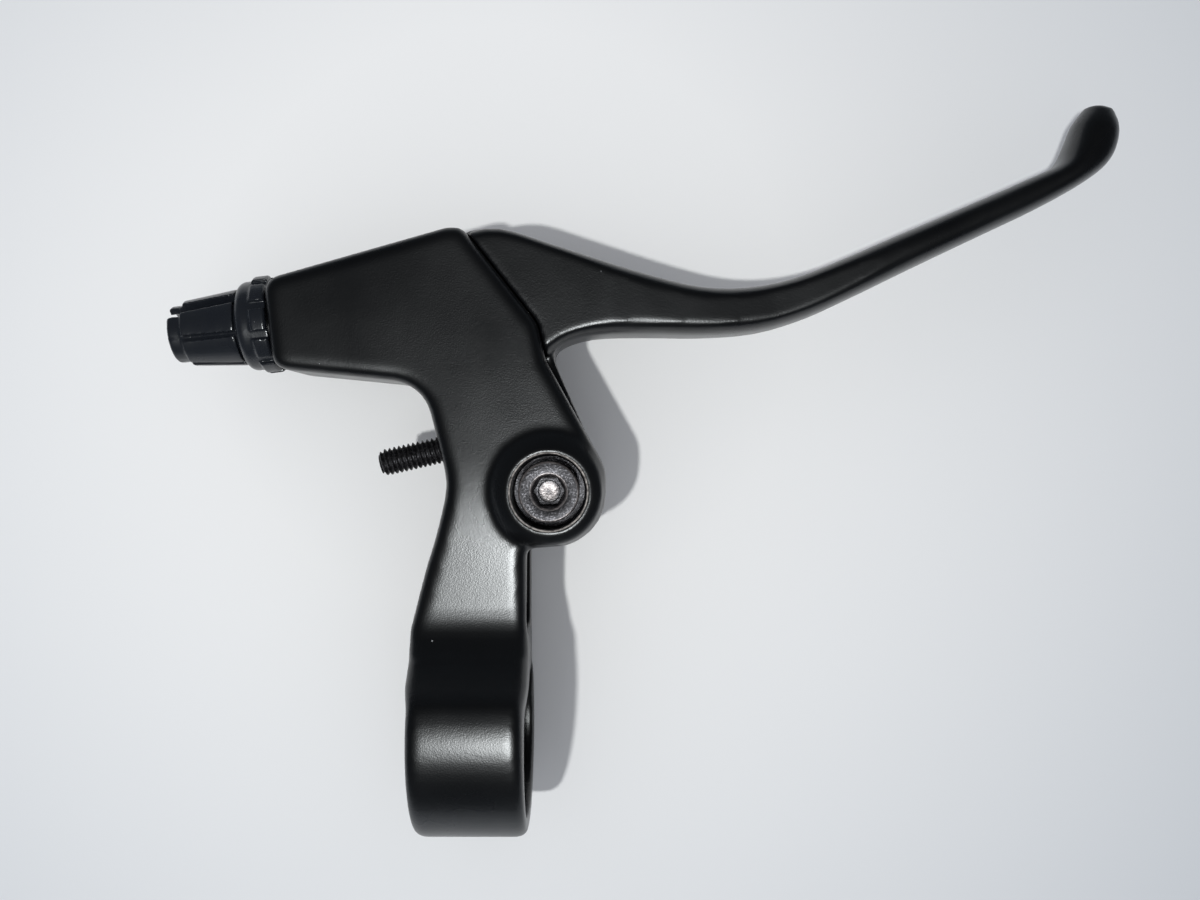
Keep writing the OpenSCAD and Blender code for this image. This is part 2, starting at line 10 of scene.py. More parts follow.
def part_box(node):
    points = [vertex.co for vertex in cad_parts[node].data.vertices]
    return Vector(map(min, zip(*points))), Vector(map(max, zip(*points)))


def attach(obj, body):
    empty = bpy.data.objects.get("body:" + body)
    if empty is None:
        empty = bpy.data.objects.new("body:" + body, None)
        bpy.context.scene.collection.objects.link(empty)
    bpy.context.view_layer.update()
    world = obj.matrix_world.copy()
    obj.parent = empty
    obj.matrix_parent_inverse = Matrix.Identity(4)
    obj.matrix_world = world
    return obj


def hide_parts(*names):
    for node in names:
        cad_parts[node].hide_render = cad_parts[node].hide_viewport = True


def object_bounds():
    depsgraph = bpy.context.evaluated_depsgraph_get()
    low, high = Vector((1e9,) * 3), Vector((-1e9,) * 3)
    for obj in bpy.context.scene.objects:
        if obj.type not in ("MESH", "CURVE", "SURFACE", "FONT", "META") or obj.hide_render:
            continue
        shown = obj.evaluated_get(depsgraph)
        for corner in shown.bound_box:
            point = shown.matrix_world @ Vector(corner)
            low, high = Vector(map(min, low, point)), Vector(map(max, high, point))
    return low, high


bl_info = {
    "name": "Brake lever dressing",
    "version": (1, 0, 0),
    "blender": (4, 5, 0),
    "location": "3D View > Sidebar > Brake Lever",
    "description": "Finishes a cable brake lever and sets it on a pale table",
    "category": "Object",
}

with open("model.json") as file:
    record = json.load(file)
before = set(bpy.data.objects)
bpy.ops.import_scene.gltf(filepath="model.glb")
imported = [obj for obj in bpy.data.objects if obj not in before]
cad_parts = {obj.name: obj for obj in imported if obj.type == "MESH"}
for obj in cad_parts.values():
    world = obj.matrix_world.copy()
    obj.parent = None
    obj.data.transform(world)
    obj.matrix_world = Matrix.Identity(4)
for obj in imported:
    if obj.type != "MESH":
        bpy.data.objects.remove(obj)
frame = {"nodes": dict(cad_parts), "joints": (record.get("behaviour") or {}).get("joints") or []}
CAD_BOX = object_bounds()
MM = 0.001
PIVOT = [(low + high) / 2 / MM for low, high in zip(*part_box("pivot_bolt"))]

# Turned detail: points around each ring of a screw
ROUND = 96

# Levels and lines of the solids that the reshaping follows, in millimetres. NECK_FALL is a slope
BODY_TOP = 8.0
BOSS_TOP = 9.8
BORE_R, BAND_R = 11.1, 15.0
NECK_FROM, NECK_FALL = 35.0, 0.1
BLEND_FROM, BLEND_TO = 19.3, 11.51
BLEND_R, BLEND_Y, BLEND_Z = 9.0, 18.42, 15.387
EDGE_R = 1.6
SLOT_HALF = 4.3
BLADE_TOP = 6.9
PARTING_LINE = ((10.7, 54.4), (9.5, 59.6), (-1.46, 73.54))

# Places and sizes of camera, lamps and table, in metres. The lamps' places are measured from AIM
CAMERA_OVER = (0.0183, 0.0418)
AIM = Vector((0.02, 0.04, 0.0))
KEY_FROM_AIM = (-0.155, -0.108, 0.64)
WINDOW_FROM_AIM = (0.0, -0.21, 0.62)
WINDOW_SIZE = (0.07, 0.24)
# Centre of the table's painted shade, where the table is left palest
PAINTED_LIGHT_CENTRE = (0.002, 0.062, 0.0)
TABLE_HALF = 3.0


# Mesh helpers


def link(name, mesh):
    """A new object for a mesh, in the scene."""
    piece = bpy.data.objects.new(name, mesh)
    bpy.context.collection.objects.link(piece)
    return piece


def settle(piece, material, body, slot, *nodes):
    """Gives a piece its finish and its body, and hides the nodes that it stands for."""
    piece.data.materials.clear()
    piece.data.materials.append(material)
    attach(piece, body)
    if nodes:
        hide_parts(*nodes)


def apply_modifiers(piece):
    """Bakes a piece's modifiers into its mesh."""
    depsgraph = bpy.context.evaluated_depsgraph_get()
    mesh = bpy.data.meshes.new_from_object(piece.evaluated_get(depsgraph))
    piece.modifiers.clear()
    piece.data = mesh


def even_mesh(piece, voxel):
    """Gives a piece a fine, even mesh."""
    remesh = piece.modifiers.new("Even mesh", "REMESH")
    remesh.mode = "VOXEL"
    remesh.voxel_size = voxel


def softened_copy(node, name, voxel, passes, reshape=None):
    """A copy of a node's mesh with its edges melted, as a casting or moulding has them."""
    piece = link(name, frame["nodes"][node].data.copy())
    if reshape:
        even_mesh(piece, voxel)
        apply_modifiers(piece)
        shift_points(piece, reshape)
    even_mesh(piece, voxel)
    smooth = piece.modifiers.new("Melted edges", "SMOOTH")
    smooth.factor = 0.5
    smooth.iterations = passes
    apply_modifiers(piece)
    piece.data.shade_smooth()
    return piece


def ramp(value, low, high):
    """0 below low, 1 above high, and an even curve between."""
    t = min(1.0, max(0.0, (value - low) / (high - low)))
    return t * t * (3 - 2 * t)


def shift_points(piece, move):
    """Moves each point of a mesh by move(point), both in millimetres."""
    for vertex in piece.data.vertices:
        vertex.co += Vector(move(vertex.co / MM)) * MM


def hexagon(flats):
    """Radius of a hexagon of that width across flats, by angle."""
    def radius(angle):
        wedge = math.radians(60)
        return flats / 2 / math.cos((angle % wedge) - wedge / 2)
    return radius


def turned(name, rings, position, sharp=32):
    """A closed turned piece from (radius, height) rings. A radius may depend on the angle."""
    form = bmesh.new()
    loops = []
    for radius, height in rings:
        loop = []
        for i in range(ROUND):
            angle = math.tau * i / ROUND
            r = radius(angle) if callable(radius) else radius
            loop.append(form.verts.new((r * math.cos(angle), r * math.sin(angle), height)))
        loops.append(loop)
    for lower, upper in zip(loops, loops[1:]):
        for i in range(ROUND):
            j = (i + 1) % ROUND
            form.faces.new((lower[i], lower[j], upper[j], upper[i]))
    for loop, face_up in ((loops[0], False), (loops[-1], True)):
        centre = form.verts.new(sum((v.co for v in loop), Vector()) / ROUND)
        for i in range(ROUND):
            j = (i + 1) % ROUND
            corners = (loop[i], loop[j], centre) if face_up else (loop[j], loop[i], centre)
            form.faces.new(corners)
    form.transform(Matrix.Scale(MM, 4))
    form.transform(position)
    mesh = bpy.data.meshes.new(name)
    form.to_mesh(mesh)
    form.free()
    mesh.shade_smooth()
    mesh.set_sharp_from_angle(angle=math.radians(sharp))
    return link(name, mesh)


# Node helpers


def new_group(name, inputs, outputs):
    """An empty shader node group with named sockets. Each is (name, kind, default)."""
    group = bpy.data.node_groups.new(name, "ShaderNodeTree")
    for label, kind, default in inputs:
        socket = group.interface.new_socket(label, in_out="INPUT", socket_type=kind)
        if default is not None:
            socket.default_value = default
    for label, kind in outputs:
        group.interface.new_socket(label, in_out="OUTPUT", socket_type=kind)
    return group, group.nodes.new("NodeGroupInput"), group.nodes.new("NodeGroupOutput")


def add(tree, kind, links=None, **settings):
    """A node with its settings, and its inputs linked or filled by name or number."""
    made = tree.nodes.new(kind)
    for key, value in settings.items():
        setattr(made, key, value)
    for key, value in (links or {}).items():
        if isinstance(value, bpy.types.NodeSocket):
            tree.links.new(value, made.inputs[key])
        else:
            made.inputs[key].default_value = value
    return made


def math_node(tree, operation, a, b=0.0, clamp=False):
    """The result of a sum on two values or sockets."""
    made = add(tree, "ShaderNodeMath", {0: a, 1: b}, operation=operation, use_clamp=clamp)
    return made.outputs[0]


def noise(tree, vector, scale, detail=3.0, roughness=0.5):
    """Noise value over a surface. The scale is in waves per metre."""
    made = add(tree, "ShaderNodeTexNoise",
               {"Vector": vector, "Scale": scale, "Detail": detail, "Roughness": roughness})
    return made.outputs["Fac"]


def stretch(tree, value, low, high, out_low=0.0, out_high=1.0):
    """A value spread from one range to another, without passing its ends."""
    made = add(tree, "ShaderNodeMapRange",
               {"Value": value, "From Min": low, "From Max": high,
                "To Min": out_low, "To Max": out_high}, clamp=True)
    return made.outputs[0]


def drift_between(tree, grain, low, high):
    """A value that drifts slowly between two others over a surface."""
    return stretch(tree, grain.outputs["Drift"], 0.3, 0.7, low, high)


def opaque(colour, share=1.0):
    """A colour, or a share of it, with full alpha."""
    return tuple(c * share for c in colour) + (1.0,)


def mix_colour(tree, factor, a, b):
    """Two colours or colour sockets mixed by a factor."""
    made = add(tree, "ShaderNodeMix", {"Factor": factor}, data_type="RGBA")
    for socket, value in ((made.inputs[6], a), (made.inputs[7], b)):
        if isinstance(value, bpy.types.NodeSocket):
            tree.links.new(value, socket)
        else:
            socket.default_value = value
    return made.outputs[2]


def grain_group():
    """Fine grain of a sprayed or moulded surface: a height, and a slow drift in gloss."""
    name = "Surface grain"
    if name in bpy.data.node_groups:
        return bpy.data.node_groups[name]
    group, given, out = new_group(
        name,
        [("Vector", "NodeSocketVector", None), ("Grain per metre", "NodeSocketFloat", 5000.0),
         ("Drift per metre", "NodeSocketFloat", 90.0)],
        [("Height", "NodeSocketFloat"), ("Drift", "NodeSocketFloat")])
    fine = noise(group, given.outputs["Vector"], given.outputs["Grain per metre"], 1.0, 0.6)
    coarse_scale = math_node(group, "MULTIPLY", given.outputs["Grain per metre"], 0.22)
    coarse = noise(group, given.outputs["Vector"], coarse_scale, 2.0)
    height = math_node(group, "ADD", math_node(group, "MULTIPLY", fine, 0.7),
                       math_node(group, "MULTIPLY", coarse, 0.3))
    drift = noise(group, given.outputs["Vector"], given.outputs["Drift per metre"], 3.0)
    group.links.new(height, out.inputs["Height"])
    group.links.new(drift, out.inputs["Drift"])
    return group


def dust_group():
    """Scattered specks of dust: a mask that is 1 on a speck."""
    name = "Dust specks"
    if name in bpy.data.node_groups:
        return bpy.data.node_groups[name]
    group, given, out = new_group(
        name,
        [("Vector", "NodeSocketVector", None), ("Cells per metre", "NodeSocketFloat", 420.0),
         ("Speck size", "NodeSocketFloat", 0.06), ("Share of cells", "NodeSocketFloat", 0.3)],
        [("Mask", "NodeSocketFloat")])
    cells = add(group, "ShaderNodeTexVoronoi",
                {"Vector": given.outputs["Vector"], "Scale": given.outputs["Cells per metre"]})
    pick = add(group, "ShaderNodeSeparateColor", {"Color": cells.outputs["Color"]})
    near = math_node(group, "LESS_THAN", cells.outputs["Distance"],
                     math_node(group, "MULTIPLY", given.outputs["Speck size"], pick.outputs[1]))
    chosen = math_node(group, "LESS_THAN", pick.outputs[0], given.outputs["Share of cells"])
    group.links.new(math_node(group, "MULTIPLY", near, chosen), out.inputs["Mask"])
    return group


def rim_wear_and_highlight_group():
    """Wear on the rims of turned hardware, and the painted highlight on the bracket's pivot rim: a
    mask at one distance from an axis along Z.
    """
    # This mask gives real wear on the screws' rims and a painted highlight round the bracket's pivot
    name = "Rim wear"
    if name in bpy.data.node_groups:
        return bpy.data.node_groups[name]
    group, given, out = new_group(
        name,
        [("Vector", "NodeSocketVector", None), ("Centre", "NodeSocketVector", None),
         ("Radius", "NodeSocketFloat", 0.004), ("Width", "NodeSocketFloat", 0.0002),
         ("Breakup", "NodeSocketFloat", 0.5)],
        [("Mask", "NodeSocketFloat")])
    away = add(group, "ShaderNodeVectorMath",
               {0: given.outputs["Vector"], 1: given.outputs["Centre"]}, operation="SUBTRACT")
    flat = add(group, "ShaderNodeVectorMath", {0: away.outputs[0], 1: (1.0, 1.0, 0.0)},
               operation="MULTIPLY")
    distance = add(group, "ShaderNodeVectorMath", {0: flat.outputs[0]}, operation="LENGTH")
    short = math_node(group, "SUBTRACT", distance.outputs["Value"], given.outputs["Radius"])
    off = math_node(group, "DIVIDE", math_node(group, "ABSOLUTE", short), given.outputs["Width"])
    near = math_node(group, "SUBTRACT", 1.0, off, clamp=True)
    patches = stretch(group, noise(group, given.outputs["Vector"], 1800.0, 3.0), 0.35, 0.65)
    kept = math_node(group, "SUBTRACT", 1.0,
                     math_node(group, "MULTIPLY", patches, given.outputs["Breakup"]), clamp=True)
    group.links.new(math_node(group, "MULTIPLY", near, kept), out.inputs["Mask"])
    return group


def place(tree, group, **values):
    """A node group in a material, with its own values."""
    made = tree.nodes.new("ShaderNodeGroup")
    made.node_tree = group
    for label, value in values.items():
        socket = made.inputs[label.replace("_", " ")]
        if isinstance(value, bpy.types.NodeSocket):
            tree.links.new(value, socket)
        else:
            socket.default_value = value
    return made


def blank_material(name):
    """A material with an empty Principled shader, and the surface coordinates."""
    material = bpy.data.materials.new(name)
    material.use_nodes = True
    tree = material.node_tree
    shader = tree.nodes["Principled BSDF"]
    where = tree.nodes.new("ShaderNodeTexCoord").outputs["Object"]
    return material, tree, shader, where


def bump(tree, shader, height, distance):
    """Feeds a height to the shader's normal, with its depth in metres."""
    made = add(tree, "ShaderNodeBump", {"Strength": 1.0, "Distance": distance, "Height": height})
    tree.links.new(made.outputs["Normal"], shader.inputs["Normal"])


# Finishes


def satin_paint():
    """Satin black paint on cast alloy: fine grain, a little dust, and a painted highlight, a thin
    bright ring coloured on the rim round the pivot.
    """
    look = bpy.context.scene.casting_finish
    material, tree, shader, where = blank_material("satin_black_paint")
    grain = place(tree, grain_group(), Vector=where, Grain_per_metre=look.grain_per_metre,
                  Drift_per_metre=70.0)
    dust = place(tree, dust_group(), Vector=where, Cells_per_metre=380.0, Speck_size=0.055,
                 Share_of_cells=look.dust_share)
    tone = mix_colour(tree, grain.outputs["Drift"], opaque(look.colour, 0.7), opaque(look.colour))
    tone = mix_colour(tree, dust.outputs["Mask"], tone, (0.32, 0.33, 0.34, 1.0))
    # Painted highlight: a thin ring of pale colour on the top of the rim round the pivot, in place
    # of light caught by that edge
    rim = place(tree, rim_wear_and_highlight_group(), Vector=where, Centre=(PIVOT[0] * MM, PIVOT[1] * MM, 0.0),
                Radius=5.4 * MM, Width=0.17 * MM, Breakup=0.8)
    height = add(tree, "ShaderNodeSeparateXYZ", {0: where}).outputs["Z"]
    on_top = stretch(tree, height, (BOSS_TOP - 0.6) * MM, (BOSS_TOP - 0.4) * MM)
    pivot_rim_painted_highlight = math_node(tree, "MULTIPLY", rim.outputs["Mask"], on_top)
    tone = mix_colour(tree, pivot_rim_painted_highlight, tone, (0.62, 0.58, 0.54, 1.0))
    tree.links.new(tone, shader.inputs["Base Color"])
    gloss = drift_between(tree, grain, look.roughness - 0.035, look.roughness + 0.035)
    tree.links.new(gloss, shader.inputs["Roughness"])
    shader.inputs["IOR"].default_value = 1.5
    shader.inputs["Specular IOR Level"].default_value = look.sheen
    bump(tree, shader, grain.outputs["Height"], look.grain_depth)
    return material


def moulded_plastic():
    """Glossy black moulded plastic, faintly uneven."""
    look = bpy.context.scene.plastic_finish
    material, tree, shader, where = blank_material("gloss_black_plastic")
    grain = place(tree, grain_group(), Vector=where, Grain_per_metre=2600.0, Drift_per_metre=260.0)
    dust = place(tree, dust_group(), Vector=where, Cells_per_metre=900.0, Speck_size=0.07,
                 Share_of_cells=0.2)
    tone = mix_colour(tree, dust.outputs["Mask"], opaque(look.colour), (0.3, 0.31, 0.32, 1.0))
    tree.links.new(tone, shader.inputs["Base Color"])
    gloss = drift_between(tree, grain, look.roughness - 0.05, look.roughness + 0.07)
    tree.links.new(gloss, shader.inputs["Roughness"])
    bump(tree, shader, grain.outputs["Height"], 0.000012)
    return material


def black_steel(name, centre=None, rims=()):
    """Black oxide on steel, rubbed bright on rims of (radius, width, breakup), lengths in mm."""
    look = bpy.context.scene.steel_finish
    material, tree, shader, where = blank_material(name)
    grain = place(tree, grain_group(), Vector=where, Grain_per_metre=3600.0, Drift_per_metre=600.0)
    specks = stretch(tree, noise(tree, where, 3600.0, 3.0, 0.6), 0.5, 0.72)
    tone = mix_colour(tree, specks, opaque(look.colour), opaque(look.colour, 5.0))
    for radius, width, breakup in rims:
        worn = place(tree, rim_wear_and_highlight_group(), Vector=where, Centre=centre, Radius=radius * MM,
                     Width=width * MM, Breakup=breakup).outputs["Mask"]
        tone = mix_colour(tree, worn, tone, opaque(look.worn))
    # Of the rims, the last alone sets the gloss
    if rims:
        roughness = stretch(tree, worn, 0.0, 1.0, look.roughness, 0.32)
    else:
        roughness = drift_between(tree, grain, look.roughness - 0.08, look.roughness + 0.1)
    tree.links.new(tone, shader.inputs["Base Color"])
    tree.links.new(roughness, shader.inputs["Roughness"])
    shader.inputs["Metallic"].default_value = 0.85
    bump(tree, shader, grain.outputs["Height"], 0.00006)
    return material


def plain_metal(name, colour, roughness):
    """Plated or turned steel, faintly clouded."""
    material, tree, shader, where = blank_material(name)
    grain = place(tree, grain_group(), Vector=where, Grain_per_metre=4000.0, Drift_per_metre=500.0)
    tone = mix_colour(tree, grain.outputs["Drift"], opaque(colour, 0.75), opaque(colour))
    tree.links.new(tone, shader.inputs["Base Color"])
    gloss = drift_between(tree, grain, roughness - 0.05, roughness + 0.08)
    tree.links.new(gloss, shader.inputs["Roughness"])
    shader.inputs["Metallic"].default_value = 1.0
    bump(tree, shader, grain.outputs["Height"], 0.00001)
    return material


def bush_plastic():
    """Natural engineering plastic of the flanged bushes."""
    material, tree, shader, where = blank_material("bush_plastic")
    grain = place(tree, grain_group(), Vector=where, Grain_per_metre=3000.0, Drift_per_metre=300.0)
    tone = mix_colour(tree, grain.outputs["Drift"], (0.5, 0.46, 0.36, 1.0),
                      (0.68, 0.64, 0.54, 1.0))
    tree.links.new(tone, shader.inputs["Base Color"])
    gloss = drift_between(tree, grain, 0.42, 0.55)
    tree.links.new(gloss, shader.inputs["Roughness"])
    bump(tree, shader, grain.outputs["Height"], 0.00001)
    return material


# Settings that a user would change


class CastingFinish(bpy.types.PropertyGroup):
    """Paint and softness of the bracket and the blade"""
    colour: FloatVectorProperty(name="Paint", description="Colour of the satin paint",
                                subtype="COLOR", size=3, default=(0.0036, 0.0040, 0.0048),
                                min=0.0, max=1.0)
    roughness: FloatProperty(name="Roughness", description="Roughness of the satin paint",
                             default=0.29, min=0.1, max=1.0, subtype="FACTOR")
    sheen: FloatProperty(name="Reflection", description="Strength of the paint's reflection",
                         default=0.5, min=0.0, max=1.0, subtype="FACTOR")
    grain_per_metre: FloatProperty(name="Grain", description="Waves of paint grain per metre",
                                   default=4600.0, min=500.0, max=20000.0)
    grain_depth: FloatProperty(name="Grain depth", description="Depth of the paint grain",
                               default=0.000018, min=0.0, max=0.001, precision=6, unit="LENGTH")
    dust_share: FloatProperty(name="Dust", description="Share of spots that hold a speck of dust",
                              default=0.16, min=0.0, max=1.0, subtype="FACTOR")
    voxel: FloatProperty(name="Mesh step", description="Mesh step of the two castings",
                         default=0.00037, min=0.0002, max=0.002, precision=5, unit="LENGTH")
    melt: IntProperty(name="Bracket softness", default=10, min=0, max=60,
                      description="Smoothing passes over the bracket's edges")
    blade_melt: IntProperty(name="Blade softness", default=3, min=0, max=60,
                            description="Smoothing passes over the blade's edges")


class PlasticFinish(bpy.types.PropertyGroup):
    """Plastic of the adjuster and its ring"""
    colour: FloatVectorProperty(name="Plastic", description="Colour of the adjuster and its ring",
                                subtype="COLOR", size=3, default=(0.010, 0.012, 0.016),
                                min=0.0, max=1.0)
    roughness: FloatProperty(name="Roughness", description="Roughness of the adjuster and its ring",
                             default=0.27, min=0.05, max=1.0, subtype="FACTOR")
    voxel: FloatProperty(name="Mesh step", description="Mesh step of the adjuster and its ring",
                         default=0.00014, min=0.0001, max=0.001, precision=5, unit="LENGTH")


class SteelFinish(bpy.types.PropertyGroup):
    """Blackened steel of the screws"""
    colour: FloatVectorProperty(name="Black steel", description="Colour of the blackened screws",
                                subtype="COLOR", size=3, default=(0.03, 0.029, 0.031),
                                min=0.0, max=1.0)
    worn: FloatVectorProperty(name="Bare steel", description="Colour where the black has rubbed off",
                              subtype="COLOR", size=3, default=(0.50, 0.45, 0.44),
                              min=0.0, max=1.0)
    roughness: FloatProperty(name="Roughness", description="Roughness of the blackened screws",
                             default=0.42, min=0.05, max=1.0, subtype="FACTOR")
    thread_pitch: FloatProperty(name="Thread pitch", description="Pitch of the reach screw's thread",
                                default=0.0007, min=0.0003, max=0.002, precision=5, unit="LENGTH")


class StageSettings(bpy.types.PropertyGroup):
    """Table, lamps and camera"""
    floor_colour: FloatVectorProperty(name="Table", description="Colour of the pale table",
                                      subtype="COLOR", size=3, default=(0.84, 0.85, 0.85),
                                      min=0.0, max=1.0)
    key: FloatProperty(name="Key light", description="Power of the key light", default=2.5,
                       min=0.0, unit="POWER")
    key_size: FloatProperty(name="Key size", description="Width of the key light", default=0.024,
                            min=0.01, unit="LENGTH", subtype="DISTANCE")
    fill: FloatProperty(name="Surroundings", description="Strength of the pale surroundings",
                        default=0.53, min=0.0)
    window: FloatProperty(name="Window", description="Power of the window's sheen on the paint",
                          default=4.3, min=0.0, unit="POWER")
    ceiling: FloatProperty(name="Ceiling", description="Strength of the ceiling in reflections",
                           default=0.012, min=0.0)
    walls: FloatProperty(name="Walls", description="Strength of the walls in reflections",
                         default=0.10, min=0.0)
    focal: FloatProperty(name="Lens", description="Focal length of the camera in millimetres",
                         default=35.0, min=10.0)
    camera_height: FloatProperty(name="Camera height", description="Camera above the bore's centre",
                                 default=0.170, min=0.05, unit="LENGTH", subtype="DISTANCE")


# Reshaping of the castings. Each function gives the shift of one point, in millimetres


def soft_boss(p):
    """The pivot's boss becomes a low mound that runs out into the bracket's face."""
    hole, boss_r, foot = 5.0, 7.4, 9.6
    face = BODY_TOP - NECK_FALL * max(0.0, NECK_FROM - p.y)
    away = math.hypot(p.x - PIVOT[0], p.y - PIVOT[1])
    if p.z < face - EDGE_R or away < hole or away > foot:
        return (0, 0, 0)
    lift = (BOSS_TOP - face) * (1 - ramp(away, 5.3, 9.4))
    if p.z > face:
        return (0, 0, face + lift - p.z)
    below = ramp(p.z, face - EDGE_R, face)
    return (0, 0, lift * below * (1 - ramp(away, boss_r, 8.6)))


def neck_crown(y):
    """Height of the neck's top: a falling line, a hollow blend and the clamp band's round."""
    if y > BLEND_FROM:
        return BODY_TOP - NECK_FALL * (NECK_FROM - y)
    if y > BLEND_TO:
        return BLEND_Z - math.sqrt(BLEND_R ** 2 - (y - BLEND_Y) ** 2)
    return math.sqrt(BAND_R ** 2 - y ** 2)


def neck_run(p):
    """The neck's top face runs up onto the clamp band in one easy curve."""
    start, end = 20.5, 4.5
    wider_left, wider_right = 0.55, 0.45
    if not end < p.y < 32 or p.z < 1:
        return (0, 0, 0)
    right = wider_right * ramp(p.x, 3, 7.5) * (1 - ramp(p.y, 12, 18))
    left = wider_left * ramp(-p.x, 3, 7.5) * (1 - ramp(p.y, 25, 32))
    side = (right - left) * ramp(p.y, end, 9)
    if p.y > start:
        return (side, 0, 0)
    length = start - end
    t = (start - p.y) / length
    rise = neck_crown(end) - neck_crown(start)
    arrive = end / neck_crown(end) * length
    curve = neck_crown(start) - NECK_FALL * length * t * (1 - t) ** 2
    curve += (4 * rise - arrive) * t ** 3 + (arrive - 3 * rise) * t ** 4
    now = neck_crown(p.y)
    return (side, 0, (curve - now) * ramp(p.z, now - 5.0, now - EDGE_R))


def lean_of_band(p):
    """The clamp band's outer skin leans towards the neck, most at its top."""
    lean, more_at_top, neck_start = 1.1, 1.5, 20
    away = math.hypot(p.y, p.z)
    if p.y > neck_start or away > BAND_R + 7 or abs(p.x) > 9.5:
        return (0, 0, 0)
    skin = min(1.0, max(0.0, (away - BORE_R) / (BAND_R - BORE_R)))
    along = (1 - ramp(p.y, 3, neck_start)) * ramp(p.z, -12, 0)
    return (0, skin * along * (lean + more_at_top * ramp(p.z, 2, BAND_R)), 0)


def flat_crown(p):
    """The blade's rounded top is flattened, so that it meets the sides at a crisp edge."""
    root_x, root_length, root_fall = 20, 23, 1.1
    tip_x, tip_slope, flattening = 60, 0.015, 0.5
    taper = root_fall * min(1.0, max(0.0, (p.x - root_x) / root_length))
    taper += tip_slope * max(0.0, p.x - tip_x)
    level = BLADE_TOP - taper - flattening * (1 - ramp(p.x, 44, 66))
    return (0, 0, min(0.0, level - abs(p.z)) * (1 if p.z > 0 else -1))


def closer_split(p):
    """The blade's cut edge moves towards the bracket, so that a narrow parting line is left."""
    closing = 0.34
    best = None
    for (ax, ay), (bx, by) in zip(PARTING_LINE, PARTING_LINE[1:]):
        dx, dy = bx - ax, by - ay
        length = math.hypot(dx, dy)
        t = min(1.0, max(0.0, ((p.x - ax) * dx + (p.y - ay) * dy) / length ** 2))
        off = ((p.x - ax) * dy - (p.y - ay) * dx) / length
        gap = math.hypot(p.x - ax - t * dx, p.y - ay - t * dy)
        if best is None or gap < best[0]:
            best = (gap, off, dy / length, -dx / length)
    gap, off, nx, ny = best
    if off <= 0 or abs(p.z) < SLOT_HALF:
        return (0, 0, 0)
    amount = closing * (1 - ramp(gap, 0.9, 2.6))
    return (-nx * amount, -ny * amount, 0)


# Operators, one for each piece or group of like pieces


class LEVER_OT_castings(bpy.types.Operator):
    """Soften the edges of the bracket and the lever blade, and paint them satin black"""
    bl_idname = "lever.castings"
    bl_label = "Bracket and blade"

    def execute(self, context):
        look = context.scene.casting_finish
        paint = satin_paint()
        bracket = softened_copy("lever_body", "bracket_casting", look.voxel, look.melt,
                                soft_boss)
        shift_points(bracket, neck_run)
        shift_points(bracket, lean_of_band)
        settle(bracket, paint, "bracket", "satin_black_alloy", "lever_body")
        blade = softened_copy("lever_blade", "blade_casting", look.voxel, look.blade_melt,
                              flat_crown)
        shift_points(blade, closer_split)
        settle(blade, paint, "lever", "satin_black_alloy", "lever_blade")
        return {"FINISHED"}


class LEVER_OT_adjuster(bpy.types.Operator):
    """Mould the cable adjuster and its locking ring in glossy black plastic"""
    bl_idname = "lever.adjuster"
    bl_label = "Cable adjuster"

    def execute(self, context):
        look = context.scene.plastic_finish
        plastic = moulded_plastic()
        for node, name, body in (("barrel_adjuster", "adjuster_barrel", "adjuster"),
                                 ("lock_ring", "adjuster_ring", "ring")):
            piece = softened_copy(node, name, look.voxel, 3)
            settle(piece, plastic, body, "gloss_black_plastic", node)
        return {"FINISHED"}


def socket_bolt(name, half, head_r, head_h, position):
    """A socket-head bolt of height 2 * half, with rounded rims, a hex socket and a drilled floor."""
    shank_r, flats, depth, rim = 2.45, 4.0, 2.1, 0.32
    seat, floor = half - head_h, half - depth
    mouth = flats / 2 + 0.52
    rings = [(shank_r - 0.4, -half), (shank_r, 0.4 - half), (shank_r, seat)]
    rings += [(head_r - 0.15, seat), (head_r, seat + 0.15)]
    for step in range(5):
        angle = math.radians(90 * step / 4)
        rings.append((head_r - rim + rim * math.cos(angle), half - rim + rim * math.sin(angle)))
    rings += [(mouth + 0.06, half), (mouth, half - 0.03)]
    rings += [(hexagon(flats + 0.12), half - 0.5), (hexagon(flats), half - 0.62)]
    rings += [(hexagon(flats), floor + 0.1), (hexagon(flats - 0.2), floor)]
    rings += [(flats / 2 - 0.42, floor), (flats / 2 - 0.55, floor - 0.12), (0.6, floor - 0.2)]
    return turned(name, rings, position)


class LEVER_OT_bolts(bpy.types.Operator):
    """Turn the pivot bolt and the clamp bolt with their hex sockets"""
    bl_idname = "lever.bolts"
    bl_label = "Socket bolts"

    def execute(self, context):
        upright, upside_down = Matrix.Identity(4), Matrix.Rotation(math.pi, 4, "X")
        for node, name, turn, head_h in (("pivot_bolt", "pivot_socket_bolt", upright, 3.5),
                                         ("clamp_bolt", "clamp_socket_bolt", upside_down, 3.0)):
            low, high = (Vector(c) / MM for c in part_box(node))
            middle = (low + high) / 2
            head_r = (high.x - low.x) / 2
            half = (high.z - low.z) / 2
            piece = socket_bolt(name, half, head_r, head_h,
                                Matrix.Translation(middle * MM) @ turn)
            rims = [(head_r - 0.12, 0.22, 0.8), (2.5, 0.2, 0.7), (0.7, 0.8, 0.8)]
            steel = black_steel(name + "_steel", (middle.x * MM, middle.y * MM, 0.0), rims)
            settle(piece, steel, "bracket", "black_steel", node)
        return {"FINISHED"}


